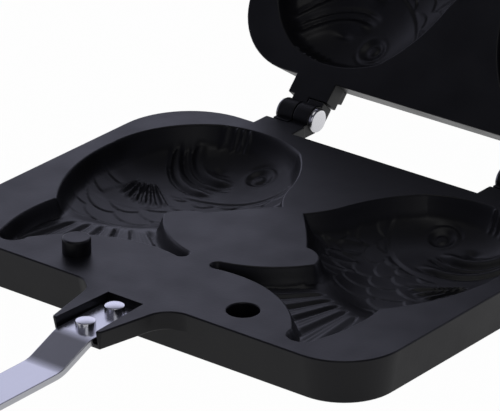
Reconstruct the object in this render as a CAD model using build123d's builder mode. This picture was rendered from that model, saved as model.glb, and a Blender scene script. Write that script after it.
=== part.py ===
from build123d import *
import os
from math import cos, hypot, radians, sin, tan

os.makedirs("parts", exist_ok=True)

# A hand-held pan that bakes two fish-shaped cakes: two equal castings, hinged at the back, with
# riveted straps and plastic grips at the front, and a wire ring that holds the grips together.
#
# Frame: millimetres, +Z up, the lower casting lies flat on Z = 0 with its middle at the origin,
# the handles point to -Y and the hinge is at +Y. The lid is drawn open, leaning on its stops.

# ---- casting -------------------------------------------------------------------------------
plate_width = 200.0         # along X, at the parting face
plate_length = 147.0        # along Y, at the parting face
plate_height = 17.6
plate_draft = 10.0          # degrees, the outside narrows towards the back of the casting
front_corner_r = 24.0
back_corner_r = 31.0
skirt_wall = 2.8            # at the open edge of the hollow back
web_wall = 3.2              # the flat web round the cavities
cup_wall = 3.0              # the wall of the cups that hang from the web
parting_gap = 0.3           # between the two castings when shut

# ---- fish cavities -------------------------------------------------------------------------
fin_depth = 6.5             # floor of the tail and the fins
fin_inset = 2.6             # how far the wall leans in, down to that floor
belly_depth = 13.6          # floor of the body
belly_x = 55.5              # middle of the deep body, from the middle line
belly_y = 95.5              # and from the front edge
belly_width = 59.0
belly_length = 74.0
belly_inset = 8.0           # how far the deep wall leans in

# ---- locating pin and hole -----------------------------------------------------------------
locator_x = 38.4
locator_y = 15.2            # from the front edge
locator_pin_r = 5.3
locator_pin_height = 6.0
locator_hole_r = 5.85
locator_hole_depth = 7.0
locator_boss_wall = 3.0
locator_boss_floor = 2.6

# ---- hinge ---------------------------------------------------------------------------------
hinge_reach = 15.6          # from the back edge to the hinge axis
hinge_lug_x = 53.0          # middle of each lug
hinge_lug_width = 19.0
hinge_lug_thick = 7.4
hinge_lug_root = 5.0        # how far the lug runs into the plate
gusset_width = 8.0          # rib under each lug, down to the level of the skirt
gusset_foot = 2.0           # from the back edge to the end of its foot
knuckle_pair_x = 52.0       # middle of each pair of knuckles
knuckle_pair_width = 15.0
knuckle_r = 5.4
knuckle_gap = 0.4           # between the two knuckles of a hinge
stop_clearance = 0.3        # between a heel and the lug end that it leans on
lug_end_reach = 7.8         # from the hinge axis to the end of a lug's bare half
heel_length = 6.5
open_angle = 134.0          # degrees, where the heels meet the lug ends
pin_r = 2.5
pin_clearance = 0.06
pin_head_r = 4.8
pin_head_height = 1.8
pin_head_rim = 0.6
pin_tail_r = 3.4
pin_tail_height = 1.2
pin_tail_face_r = 2.0
washer_r = 4.8
washer_thick = 0.8

# ---- handle lug and strap ------------------------------------------------------------------
lug_length = 30.0
lug_root_width = 34.4
lug_tip_width = 22.0
lug_thick = 7.6
lug_root_r = 10.0
slot_start = 2.9            # from the front edge to the closed end of the slot
slot_clearance = 0.1
slot_flare = 1.2            # how much wider the slot is at its mouth, on each side
strap_width = 16.0
strap_thick = 2.5
strap_sink = 3.2            # from the parting face down to the strap
strap_flat = 31.0           # from the front edge to the first bend
strap_slope = 15.5          # length of the sloping stretch, along Y
strap_drop = 6.2
strap_bend_r = 4.0
strap_end_inset = 15.0      # from its hidden end to the grip's end
rivet_ys = (9.0, 24.5)      # from the front edge
rivet_shank_r = 2.5
rivet_head_r = 3.65
rivet_head_height = 3.0
rivet_rim = 1.9             # straight side of the head, below its low dome
rivet_tail_rim = 0.5
rivet_tail_r = 3.9
rivet_tail_height = 1.3

# ---- grips ---------------------------------------------------------------------------------
grip_start = 92.0           # from the front edge
grip_end = 205.0
grip_front_width = 21.0
grip_back_width = 24.0
grip_inner_sink = 0.6       # from the parting face to the grip's flat side
grip_outer_sink = 16.8      # from the parting face to the grip's round side
grip_section_r = 6.0
grip_edge_r = 1.5
grip_corner_r = 4.0
grip_end_r = 8.0
grip_rivet_start = 20.0     # from the grip's near end to the first rivet
grip_rivet_inset = 29.0     # from the second rivet to the grip's far end
grip_rivet_r = 2.0
grip_rivet_head_r = 4.0
grip_rivet_head_depth = 2.0
fastener_clearance = 0.05

# ---- latch ring ----------------------------------------------------------------------------
wire_r = 2.0
latch_inset = 9.0           # pivot, from the grip's far end
latch_sink = 6.5            # pivot, below the parting face
latch_reach = 27.5          # from the pivot to the middle of the cross wire
latch_side_gap = 0.7        # between the grip's side and the wire
latch_leg_r = 2.6
latch_corner_r = 6.0
latch_pin_length = 7.0      # how far each end of the wire goes into the grip
latch_pin_room = 0.5
latch_clearance = 0.06
nib_length = 2.5
nib_height = 2.2
nib_start = 3.2             # from the pivot to the nib
nib_gap = 0.1

# ---- places that follow from the sizes -----------------------------------------------------
parting_z = plate_height
front_y = -plate_length / 2
back_y = plate_length / 2
hinge_y = back_y + hinge_reach
hinge_z = parting_z + parting_gap / 2
strap_z = parting_z - strap_sink
tang_z = strap_z - strap_drop
strap_end = grip_end - strap_end_inset
grip_rivet_ys = (grip_start + grip_rivet_start, grip_end - grip_rivet_inset)
latch_y = grip_end - latch_inset
seam_z = tang_z - strap_thick
latch_z = parting_z - latch_sink
hinge_axis = Axis((0, hinge_y, hinge_z), (1, 0, 0))
turn_axis = Axis((0, 0, hinge_z), (0, 1, 0))

# The outline of the right-hand fish at the parting face, as arcs: every second point is a corner
# or a joint between two arcs, and the point after it lies on the arc. x is from the middle line
# and y from the front edge. It runs from the back fin to the tail, round the belly and the head.
fish_outline = [
    (5, 92), (16, 80), (24, 70), (31, 67.5), (35, 60), (24, 48.5), (8, 41), (5.5, 38), (9, 35.5),
    (42, 31), (61, 14), (67.5, 7.5), (72.5, 13), (76, 30), (75, 46), (88, 70), (91.7, 98),
    (86.5, 120), (70, 136.5), (51, 140), (30, 134), (19, 120), (13, 106), (10, 99),
]


def grown(points, amount):
    """The closed outline, moved outwards by an amount (inwards where it is negative)."""
    moved = []
    count = len(points)
    for i in range(count):
        ahead = points[(i + 1) % count]
        behind = points[i - 1]
        along_x = ahead[0] - behind[0]
        along_y = ahead[1] - behind[1]
        length = hypot(along_x, along_y)
        x = points[i][0] + amount * along_y / length
        y = points[i][1] - amount * along_x / length
        moved.append((x, y))
    return moved


def fish_sketch(side, height, growth):
    """The fish's outline at a height, for the right (1) or the left (-1) fish."""
    points = [(side * x, front_y + y) for x, y in grown(fish_outline, growth)]
    with BuildSketch(Plane.XY.offset(height)) as fish:
        with BuildLine():
            for i in range(0, len(points), 2):
                ThreePointArc(points[i], points[i + 1], points[(i + 2) % len(points)])
        make_face()
    return fish.sketch


def belly_sketch(side, height, growth):
    """The rounder outline of the fish's deep body at a height."""
    with BuildSketch(Plane.XY.offset(height)) as belly:
        with Locations((side * belly_x, front_y + belly_y)):
            Ellipse(belly_width / 2 + growth, belly_length / 2 + growth)
    return belly.sketch


def plate_face(inset):
    """The casting's plan, with its own front and back corners, moved in by an inset."""
    width = plate_width - 2 * inset
    length = plate_length - 2 * inset
    Rectangle(width, length)
    corners = vertices().sort_by(Axis.Y)
    fillet(corners[:2], front_corner_r - inset)
    corners = vertices().group_by(Axis.Y)[-1]
    fillet(corners, back_corner_r - inset)


def lid_copy(piece):
    """The lid's piece: the lower one turned over on the parting face, then swung open."""
    return piece.rotate(turn_axis, 180).rotate(hinge_axis, -open_angle)


def knuckle(x_middle, width):
    """Hinge barrel with its web to the lug, and the heel that meets the other casting's lug."""
    with BuildSketch(Plane.YZ.offset(x_middle - width / 2)) as barrel:
        with Locations((hinge_y, hinge_z)):
            Circle(knuckle_r)
        with Locations((hinge_y, parting_z)):
            Rectangle(lug_end_reach, knuckle_r, align=(Align.MAX, Align.MAX))
    extrude(barrel.sketch, amount=width)
    heel_plane = Plane(
        origin=(x_middle - width / 2, hinge_y, hinge_z),
        x_dir=(0, -cos(radians(open_angle)), sin(radians(open_angle))),
        z_dir=(1, 0, 0),
    )
    with BuildSketch(heel_plane) as heel:
        Rectangle(lug_end_reach - stop_clearance, heel_length, align=(Align.MIN, Align.MAX))
    extrude(heel.sketch, amount=width)


# ---- lower plate ---------------------------------------------------------------------------
draft_inset = plate_height * tan(radians(plate_draft))
spot = 0.01                 # how near a corner must be to a place to be the one meant
knuckle_width = (knuckle_pair_width - knuckle_gap) / 2
slot_half = strap_width / 2 + slot_clearance

with BuildPart() as lower_plate:
    with BuildSketch(Plane.XY.offset(parting_z)):
        plate_face(0)
    extrude(amount=-plate_height, taper=plate_draft)

    # the hollow back, open below
    with BuildSketch(Plane.XY):
        plate_face(draft_inset + skirt_wall)
    extrude(amount=plate_height - web_wall, mode=Mode.SUBTRACT)

    # handle lug: tapered tongue with round roots
    with BuildSketch(Plane.XY.offset(parting_z)):
        with BuildLine():
            Polyline(
                (-lug_root_width / 2, front_y + lug_root_r),
                (-lug_root_width / 2, front_y + draft_inset / 2),
                (-lug_tip_width / 2, front_y - lug_length),
                (lug_tip_width / 2, front_y - lug_length),
                (lug_root_width / 2, front_y + draft_inset / 2),
                (lug_root_width / 2, front_y + lug_root_r),
                close=True,
            )
        make_face()
        with Locations((0, front_y + draft_inset / 2)):
            Rectangle(2 * lug_root_width, lug_root_r / 2, align=(Align.CENTER, Align.MIN))
        root = vertices().filter_by_position(Axis.Y, front_y + draft_inset / 2 - spot,
                                             front_y + draft_inset / 2 + spot)
        fillet(root.sort_by(Axis.X)[1:3], lug_root_r)
    extrude(amount=-lug_thick)
    with BuildSketch(Plane.XY.offset(parting_z)):
        with BuildLine():
            Polyline(
                (-slot_half, front_y - slot_start),
                (-slot_half - slot_flare, front_y - lug_length),
                (slot_half + slot_flare, front_y - lug_length),
                (slot_half, front_y - slot_start),
                close=True,
            )
        make_face()
    extrude(amount=-(strap_sink + strap_thick), mode=Mode.SUBTRACT)

    # hinge lugs: each has a bare half and a half with the knuckle
    for side in (-1, 1):
        lug_x = side * hinge_lug_x
        with BuildSketch(Plane.XY.offset(parting_z)):
            with Locations((lug_x, back_y - hinge_lug_root)):
                Rectangle(hinge_lug_width, hinge_lug_root + hinge_reach - lug_end_reach,
                          align=(Align.CENTER, Align.MIN))
        extrude(amount=-hinge_lug_thick)
        with BuildSketch(Plane.YZ.offset(lug_x - gusset_width / 2)):
            with BuildLine():
                Polyline(
                    (back_y - hinge_lug_root, parting_z - web_wall),
                    (back_y - hinge_lug_root, 0),
                    (back_y + gusset_foot, 0),
                    (back_y + hinge_reach - lug_end_reach, parting_z - hinge_lug_thick),
                    (back_y + hinge_reach - lug_end_reach, parting_z - web_wall),
                    close=True,
                )
            make_face()
        extrude(amount=gusset_width)
        knuckle(side * knuckle_pair_x + (knuckle_pair_width - knuckle_width) / 2, knuckle_width)

    # locating pin on one side, boss and hole for the other casting's pin on the other side
    with BuildSketch(Plane.XY.offset(parting_z - web_wall / 2)):
        with Locations((-locator_x, front_y + locator_y)):
            Circle(locator_pin_r)
    extrude(amount=web_wall / 2 + locator_pin_height)
    with BuildSketch(Plane.XY.offset(parting_z - web_wall / 2)):
        with Locations((locator_x, front_y + locator_y)):
            Circle(locator_hole_r + locator_boss_wall)
    extrude(amount=-(locator_hole_depth + locator_boss_floor - web_wall / 2))
    with BuildSketch(Plane.XY.offset(parting_z)):
        with Locations((locator_x, front_y + locator_y)):
            Circle(locator_hole_r)
    extrude(amount=-locator_hole_depth, mode=Mode.SUBTRACT)

    # bores for the hinge pins
    for pair_x in (-knuckle_pair_x, knuckle_pair_x):
        with BuildSketch(Plane.YZ.offset(pair_x - knuckle_pair_width / 2)):
            with Locations((hinge_y, hinge_z)):
                Circle(pin_r + pin_clearance)
        extrude(amount=knuckle_pair_width, mode=Mode.SUBTRACT)

    # rivet holes in the handle lug
    with BuildSketch(Plane.XY.offset(parting_z)):
        with Locations(*[(0, front_y - y) for y in rivet_ys]):
            Circle(rivet_shank_r + fastener_clearance)
    extrude(amount=-lug_thick, mode=Mode.SUBTRACT)

    # cups that hang from the web, down to the level of the skirt, and the fish inside them
    for side in (1, -1):
        extrude(fish_sketch(side, parting_z - web_wall / 2, cup_wall),
                amount=-(fin_depth + cup_wall - web_wall / 2))
        loft([belly_sketch(side, parting_z - web_wall, cup_wall),
              belly_sketch(side, 0, cup_wall - belly_inset)], ruled=True)
        loft([fish_sketch(side, parting_z, 0),
              fish_sketch(side, parting_z - fin_depth, -fin_inset)],
             ruled=True, mode=Mode.SUBTRACT)
        loft([belly_sketch(side, parting_z - fin_depth, 0),
              belly_sketch(side, parting_z - belly_depth, -belly_inset)],
             ruled=True, mode=Mode.SUBTRACT)
lower_plate.part.label = "lower_plate"
export_step(lower_plate.part, "parts/lower_plate.step")


# ---- lower strap ---------------------------------------------------------------------------
with BuildPart() as lower_strap:
    with BuildSketch(Plane.YZ.offset(-strap_width / 2)):
        with BuildLine():
            FilletPolyline(
                (front_y - slot_start - slot_clearance, strap_z),
                (front_y - strap_flat, strap_z),
                (front_y - strap_flat - strap_slope, tang_z),
                (front_y - strap_end, tang_z),
                radius=strap_bend_r,
            )
            offset(amount=-strap_thick, side=Side.LEFT, closed=True)
        make_face()
    extrude(amount=strap_width)
    with BuildSketch(Plane.XY.offset(strap_z)):
        with Locations(*[(0, front_y - y) for y in rivet_ys]):
            Circle(rivet_shank_r + fastener_clearance)
    extrude(amount=-2 * strap_thick, mode=Mode.SUBTRACT)
    with BuildSketch(Plane.XY.offset(tang_z + strap_thick)):
        with Locations(*[(0, front_y - y) for y in grip_rivet_ys]):
            Circle(grip_rivet_r + fastener_clearance)
    extrude(amount=-3 * strap_thick, mode=Mode.SUBTRACT)
lower_strap.part.label = "lower_strap"
export_step(lower_strap.part, "parts/lower_strap.step")


# ---- strap rivets --------------------------------------------------------------------------
def rivet_profile(head_z, tail_z):
    """Half section of a strap rivet: low dome above, set head below."""
    with BuildSketch(Plane.XZ) as section:
        with BuildLine():
            Polyline(
                (0, head_z + rivet_head_height),
                (0, tail_z - rivet_tail_height),
                (rivet_tail_r - rivet_tail_rim, tail_z - rivet_tail_height),
                (rivet_tail_r, tail_z),
                (rivet_shank_r, tail_z),
                (rivet_shank_r, head_z),
                (rivet_head_r, head_z),
                (rivet_head_r, head_z + rivet_rim),
            )
            TangentArc((0, head_z + rivet_head_height), (rivet_head_r, head_z + rivet_rim),
                       tangent=(1, 0))
        make_face()
    return section.sketch


def make_rivet(y):
    """One strap rivet at a distance from the front edge."""
    with BuildPart() as rivet:
        revolve(rivet_profile(strap_z, parting_z - lug_thick), axis=Axis.Z)
    return rivet.part.move(Location((0, front_y - y, 0)))


with BuildPart() as lower_front_rivet:
    add(make_rivet(rivet_ys[1]))
lower_front_rivet.part.label = "lower_front_rivet"
export_step(lower_front_rivet.part, "parts/lower_front_rivet.step")

with BuildPart() as lower_rear_rivet:
    add(make_rivet(rivet_ys[0]))
lower_rear_rivet.part.label = "lower_rear_rivet"
export_step(lower_rear_rivet.part, "parts/lower_rear_rivet.step")


# ---- grips ---------------------------------------------------------------------------------
grip_length = grip_end - grip_start
grip_top_z = parting_z - grip_inner_sink
grip_low_z = parting_z - grip_outer_sink


def grip_body():
    """The whole grip as a bar: rounded section, tapered plan, rounded outer end."""
    with BuildSketch(Plane.XZ.offset(-(front_y - grip_start))) as section:
        with Locations((0, (grip_top_z + grip_low_z) / 2)):
            Rectangle(grip_back_width, grip_top_z - grip_low_z)
        fillet(vertices().group_by(Axis.Y)[0], grip_section_r)
        fillet(vertices().group_by(Axis.Y)[-1], grip_edge_r)
    with BuildSketch(Plane.XY.offset(parting_z)) as plan:
        with BuildLine():
            Polyline(
                (-grip_front_width / 2, front_y - grip_start),
                (-grip_back_width / 2, front_y - latch_y + latch_reach),
                (-grip_back_width / 2, front_y - grip_end),
                (grip_back_width / 2, front_y - grip_end),
                (grip_back_width / 2, front_y - latch_y + latch_reach),
                (grip_front_width / 2, front_y - grip_start),
                close=True,
            )
        make_face()
        fillet(vertices().group_by(Axis.Y)[0], grip_corner_r)
        fillet(vertices().group_by(Axis.Y)[-1], grip_edge_r)
    with BuildSketch(Plane.YZ.offset(-grip_back_width)) as side:
        with Locations((front_y - grip_start - grip_length / 2, (grip_top_z + grip_low_z) / 2)):
            Rectangle(grip_length, grip_top_z - grip_low_z)
        fillet(vertices().group_by(Axis.Y)[0].sort_by(Axis.X)[0], grip_end_r)
        fillet(vertices().group_by(Axis.Y)[0].sort_by(Axis.X)[-1], grip_section_r)
    with BuildPart() as grip:
        extrude(section.sketch, amount=grip_length)
        extrude(plan.sketch, amount=-2 * grip_outer_sink, mode=Mode.INTERSECT)
        extrude(side.sketch, amount=2 * grip_back_width, mode=Mode.INTERSECT)
    return grip.part


def grip_half(inner, latched):
    """The inner or the outer half, with its holes, and the ring's seat on the latched grip."""
    high_z = grip_top_z if inner else seam_z
    low_z = seam_z if inner else grip_low_z
    head_z = grip_top_z if inner else grip_low_z
    head_dir = -1 if inner else 1
    hole_r = grip_rivet_r + fastener_clearance
    head_r = grip_rivet_head_r + fastener_clearance
    spots = [(0, front_y - y) for y in grip_rivet_ys]
    with BuildPart() as half:
        add(grip_body())
        with BuildSketch(Plane.XY.offset(low_z)):
            with Locations((0, front_y - grip_start)):
                Rectangle(2 * grip_back_width, 4 * grip_length)
        extrude(amount=high_z - low_z, mode=Mode.INTERSECT)
        if inner:
            with BuildSketch(Plane.XY.offset(seam_z)):
                with Locations((0, front_y - strap_end - fastener_clearance)):
                    Rectangle(strap_width + 2 * fastener_clearance, strap_end,
                              align=(Align.CENTER, Align.MIN))
            extrude(amount=strap_thick + fastener_clearance, mode=Mode.SUBTRACT)
        with BuildSketch(Plane.XY.offset(low_z)):
            with Locations(*spots):
                Circle(hole_r)
        extrude(amount=high_z - low_z, mode=Mode.SUBTRACT)
        with BuildSketch(Plane.XY.offset(head_z)):
            with Locations(*spots):
                Circle(head_r)
        extrude(amount=head_dir * grip_rivet_head_depth, mode=Mode.SUBTRACT)
        if inner and latched:
            for side in (1, -1):
                with BuildSketch(Plane.YZ.offset(side * grip_back_width / 2)):
                    with Locations((front_y - latch_y, latch_z)):
                        Circle(wire_r + latch_clearance)
                extrude(amount=-side * (latch_pin_length + latch_pin_room), mode=Mode.SUBTRACT)
                with BuildSketch(Plane.YZ.offset(side * (grip_back_width / 2 - nib_height))):
                    with Locations((front_y - latch_y - nib_start, latch_z - wire_r - nib_gap)):
                        Rectangle(nib_length, nib_height, align=(Align.MAX, Align.MAX))
                extrude(amount=side * (2 * nib_height + latch_side_gap))
    return half.part


with BuildPart() as lower_inner_grip:
    add(grip_half(True, True))
lower_inner_grip.part.label = "lower_inner_grip"
export_step(lower_inner_grip.part, "parts/lower_inner_grip.step")

with BuildPart() as lower_outer_grip:
    add(grip_half(False, True))
lower_outer_grip.part.label = "lower_outer_grip"
export_step(lower_outer_grip.part, "parts/lower_outer_grip.step")

with BuildPart() as plain_inner_grip:
    add(grip_half(True, False))


def make_grip_rivet(y):
    """One grip rivet with a flat head sunk in each half."""
    with BuildPart() as rivet:
        with BuildSketch(Plane.XY.offset(grip_low_z + grip_rivet_head_depth)):
            with Locations((0, front_y - y)):
                Circle(grip_rivet_r)
        extrude(amount=grip_top_z - grip_low_z - 2 * grip_rivet_head_depth)
        for low_z in (grip_low_z, grip_top_z - grip_rivet_head_depth):
            with BuildSketch(Plane.XY.offset(low_z)):
                with Locations((0, front_y - y)):
                    Circle(grip_rivet_head_r)
            extrude(amount=grip_rivet_head_depth)
    return rivet.part


with BuildPart() as lower_front_grip_rivet:
    add(make_grip_rivet(grip_rivet_ys[1]))
lower_front_grip_rivet.part.label = "lower_front_grip_rivet"
export_step(lower_front_grip_rivet.part, "parts/lower_front_grip_rivet.step")

with BuildPart() as lower_rear_grip_rivet:
    add(make_grip_rivet(grip_rivet_ys[0]))
lower_rear_grip_rivet.part.label = "lower_rear_grip_rivet"
export_step(lower_rear_grip_rivet.part, "parts/lower_rear_grip_rivet.step")


# ---- hinge pins and washers ----------------------------------------------------------------
def make_pin(pair_x):
    """Hinge pin: domed head on the +X side, small peened end on the washer at the other."""
    head_x = pair_x + knuckle_pair_width / 2
    tail_x = pair_x - knuckle_pair_width / 2 - washer_thick
    with BuildPart() as pin:
        with BuildSketch(Plane.XZ.offset(-hinge_y)):
            with BuildLine():
                Polyline(
                    (head_x + pin_head_height, hinge_z),
                    (tail_x - pin_tail_height, hinge_z),
                    (tail_x - pin_tail_height, hinge_z + pin_tail_face_r),
                    (tail_x, hinge_z + pin_tail_r),
                    (tail_x, hinge_z + pin_r),
                    (head_x, hinge_z + pin_r),
                    (head_x, hinge_z + pin_head_r),
                    (head_x + pin_head_rim, hinge_z + pin_head_r),
                )
                TangentArc((head_x + pin_head_height, hinge_z),
                           (head_x + pin_head_rim, hinge_z + pin_head_r), tangent=(0, 1))
            make_face()
        revolve(axis=hinge_axis)
    return pin.part


def make_washer(pair_x):
    """Plain washer between a knuckle and the pin's peened end."""
    with BuildPart() as washer:
        with BuildSketch(Plane.YZ.offset(pair_x - knuckle_pair_width / 2 - washer_thick)):
            with Locations((hinge_y, hinge_z)):
                Circle(washer_r)
                Circle(pin_r + pin_clearance, mode=Mode.SUBTRACT)
        extrude(amount=washer_thick)
    return washer.part


with BuildPart() as left_hinge_pin:
    add(make_pin(-knuckle_pair_x))
left_hinge_pin.part.label = "left_hinge_pin"
export_step(left_hinge_pin.part, "parts/left_hinge_pin.step")

with BuildPart() as right_hinge_pin:
    add(make_pin(knuckle_pair_x))
right_hinge_pin.part.label = "right_hinge_pin"
export_step(right_hinge_pin.part, "parts/right_hinge_pin.step")

with BuildPart() as left_hinge_washer:
    add(make_washer(-knuckle_pair_x))
left_hinge_washer.part.label = "left_hinge_washer"
export_step(left_hinge_washer.part, "parts/left_hinge_washer.step")

with BuildPart() as right_hinge_washer:
    add(make_washer(knuckle_pair_x))
right_hinge_washer.part.label = "right_hinge_washer"
export_step(right_hinge_washer.part, "parts/right_hinge_washer.step")


# ---- latch ring ----------------------------------------------------------------------------
latch_leg_x = grip_back_width / 2 + latch_side_gap + wire_r
latch_tip_x = grip_back_width / 2 - latch_pin_length
pivot_y = front_y - latch_y

with BuildPart() as latch_ring:
    with BuildLine() as wire_line:
        FilletPolyline(
            (latch_tip_x, pivot_y, latch_z),
            (latch_leg_x, pivot_y, latch_z),
            (latch_leg_x, pivot_y - latch_reach, latch_z),
            (-latch_leg_x, pivot_y - latch_reach, latch_z),
            (-latch_leg_x, pivot_y, latch_z),
            (-latch_tip_x, pivot_y, latch_z),
            radius=(latch_leg_r, latch_corner_r, latch_corner_r, latch_leg_r),
        )
    with BuildSketch(Plane(wire_line.line @ 0, z_dir=wire_line.line % 0)):
        Circle(wire_r)
    sweep(path=wire_line.line)
latch_ring.part.label = "latch_ring"
export_step(latch_ring.part, "parts/latch_ring.step")


# ---- lid -----------------------------------------------------------------------------------
with BuildPart() as lid_plate:
    add(lid_copy(lower_plate.part))
lid_plate.part.label = "lid_plate"
export_step(lid_plate.part, "parts/lid_plate.step")

with BuildPart() as lid_strap:
    add(lid_copy(lower_strap.part))
lid_strap.part.label = "lid_strap"
export_step(lid_strap.part, "parts/lid_strap.step")

with BuildPart() as lid_front_rivet:
    add(lid_copy(lower_front_rivet.part))
lid_front_rivet.part.label = "lid_front_rivet"
export_step(lid_front_rivet.part, "parts/lid_front_rivet.step")

with BuildPart() as lid_rear_rivet:
    add(lid_copy(lower_rear_rivet.part))
lid_rear_rivet.part.label = "lid_rear_rivet"
export_step(lid_rear_rivet.part, "parts/lid_rear_rivet.step")

with BuildPart() as lid_inner_grip:
    add(lid_copy(plain_inner_grip.part))
lid_inner_grip.part.label = "lid_inner_grip"
export_step(lid_inner_grip.part, "parts/lid_inner_grip.step")

with BuildPart() as lid_outer_grip:
    add(lid_copy(lower_outer_grip.part))
lid_outer_grip.part.label = "lid_outer_grip"
export_step(lid_outer_grip.part, "parts/lid_outer_grip.step")

with BuildPart() as lid_front_grip_rivet:
    add(lid_copy(lower_front_grip_rivet.part))
lid_front_grip_rivet.part.label = "lid_front_grip_rivet"
export_step(lid_front_grip_rivet.part, "parts/lid_front_grip_rivet.step")

with BuildPart() as lid_rear_grip_rivet:
    add(lid_copy(lower_rear_grip_rivet.part))
lid_rear_grip_rivet.part.label = "lid_rear_grip_rivet"
export_step(lid_rear_grip_rivet.part, "parts/lid_rear_grip_rivet.step")

print("hinge axis at y, z:", hinge_y, hinge_z)
print("latch pivot at y, z:", pivot_y, latch_z)
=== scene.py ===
# %% [markdown]
# # A hinged pan for two fish-shaped cakes
# The pan is two equal aluminium castings on a hinge, each with a riveted steel strap and a
# plastic grip. The CAD model fixes every size. This lesson dresses it: soft cast edges, the
# carved fish, the dark coating, bare metal and moulded grips.
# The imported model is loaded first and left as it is.

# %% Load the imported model
from math import atan2, cos, hypot, pi, radians, sin, sqrt, tan

import bmesh
import bpy
import numpy as np
from mathutils import Matrix, Vector, geometry


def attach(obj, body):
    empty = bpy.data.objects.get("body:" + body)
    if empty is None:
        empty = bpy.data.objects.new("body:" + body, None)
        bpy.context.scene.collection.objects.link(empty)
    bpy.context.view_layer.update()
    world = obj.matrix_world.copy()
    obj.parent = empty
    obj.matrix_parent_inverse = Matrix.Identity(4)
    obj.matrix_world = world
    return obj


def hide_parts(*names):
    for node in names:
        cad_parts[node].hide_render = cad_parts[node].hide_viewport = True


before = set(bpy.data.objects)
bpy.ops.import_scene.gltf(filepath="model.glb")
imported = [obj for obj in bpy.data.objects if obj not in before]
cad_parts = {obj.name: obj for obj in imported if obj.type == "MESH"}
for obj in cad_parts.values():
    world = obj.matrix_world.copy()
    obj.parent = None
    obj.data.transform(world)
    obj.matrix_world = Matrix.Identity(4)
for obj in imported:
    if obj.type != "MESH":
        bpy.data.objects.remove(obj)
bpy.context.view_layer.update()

print("CAD nodes:", sorted(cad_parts))

# %% [markdown]
# ## Working in millimetres
# Every size below is written as on the drawing, and turned to metres where an operator needs
# it. The middle of the plate is at x, y = 0, the handle points to negative y, and z counts from
# the table.

# %% Sizes of the castings
PLATE_WIDTH, PLATE_LENGTH, PLATE_HEIGHT = 200.0, 147.0, 17.6
FRONT_Y = -PLATE_LENGTH / 2
BACK_Y = PLATE_LENGTH / 2
DRAFT = radians(10)
DRAFT_INSET = PLATE_HEIGHT * tan(DRAFT)
FRONT_CORNER, BACK_CORNER = 24.0, 31.0
SKIRT_WALL, WEB_WALL = 2.8, 3.2
CAST_EDGE = 0.7
HINGE_Y, HINGE_Z = BACK_Y + 15.6, PLATE_HEIGHT + 0.15
OPEN_ANGLE = 134.0


def metres(*sizes):
    """Millimetres to the metres that Blender's operators take."""
    return tuple(size / 1000 for size in sizes)


print("hinge axis at y, z:", HINGE_Y, HINGE_Z)

# %% [markdown]
# ## Hands for modelling
# Modelling by hand is: select something, then use an operator on it. These helpers do the
# selecting, by place.

# %% Selecting and settling
def only(*things):
    """Deselects everything, then selects these objects and makes the last one active."""
    bpy.ops.object.select_all(action="DESELECT")
    for thing in things:
        thing.select_set(True)
        bpy.context.view_layer.objects.active = thing


def settle(name):
    """Names the new object and puts its place, turn and size into its mesh."""
    thing = bpy.context.object
    thing.name = thing.data.name = name
    bpy.ops.object.transform_apply(location=True, rotation=True, scale=True)
    return thing


def edit(thing):
    """Opens an object in edit mode with nothing selected."""
    only(thing)
    bpy.ops.object.mode_set(mode="EDIT")
    bpy.ops.mesh.select_all(action="DESELECT")


def pick(kind, test=lambda x, y, z: True, **at):
    """Selects the VERT, EDGE or FACE items whose middle is at these places, in millimetres,
    and passes the test."""
    bpy.ops.mesh.select_mode(type=kind)
    bpy.ops.mesh.select_all(action="DESELECT")
    mesh = bmesh.from_edit_mesh(bpy.context.edit_object.data)
    items = {"VERT": mesh.verts, "EDGE": mesh.edges, "FACE": mesh.faces}[kind]
    for item in items:
        corners = [item.co] if kind == "VERT" else [corner.co for corner in item.verts]
        middle = dict(zip("xyz", sum(corners, Vector()) / len(corners) * 1000))
        if all(near(middle[axis], place) for axis, place in at.items()) and test(**middle):
            item.select_set(True)
    bmesh.update_edit_mesh(bpy.context.edit_object.data)


def near(a, b, reach=0.05):
    """True where two lengths are the same to a few hundredths of a millimetre."""
    return abs(a - b) < reach


def select_all():
    """Selects the whole mesh that is open."""
    bpy.ops.mesh.select_all(action="SELECT")


def close_edit():
    """Turns all faces outwards and leaves edit mode."""
    select_all()
    bpy.ops.mesh.normals_make_consistent(inside=False)
    bpy.ops.object.mode_set(mode="OBJECT")


# %% [markdown]
# The four operators that come back most get a short form that takes millimetres.

# %% Operators in millimetres
def bevel(size, steps, kind="EDGES"):
    """Rounds the selected edges or corners."""
    bpy.ops.mesh.bevel(offset=size / 1000, segments=steps, affect=kind)


def shift(x, y, z):
    """Moves what is selected."""
    bpy.ops.transform.translate(value=metres(x, y, z))


def extrude(x, y, z):
    """Draws what is selected on by a step."""
    bpy.ops.mesh.extrude_region_move(TRANSFORM_OT_translate={"value": metres(x, y, z)})


def stretch(x, y, z, **about):
    """Scales what is selected."""
    bpy.ops.transform.resize(value=(x, y, z), **about)


# %% [markdown]
# ## Blocks, drums and turned pieces
# A box or a drum is a primitive at its size and place with its edges bevelled, because no cast
# or turned edge is sharp. A turned piece starts as a filled circle that is extruded and scaled,
# ring by ring, up its profile.

# %% Blocks, drums and turned pieces
def block(name, low, high, edge=0.0, steps=2):
    """A box between two corners, with all its edges rounded where an edge size is given."""
    only()
    middle = [(a + b) / 2 for a, b in zip(low, high)]
    bpy.ops.mesh.primitive_cube_add(size=1, location=metres(*middle))
    bpy.context.object.scale = metres(*[b - a for a, b in zip(low, high)])
    piece = settle(name)
    if edge:
        edit(piece)
        select_all()
        bevel(edge, steps)
        close_edit()
    return piece


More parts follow.
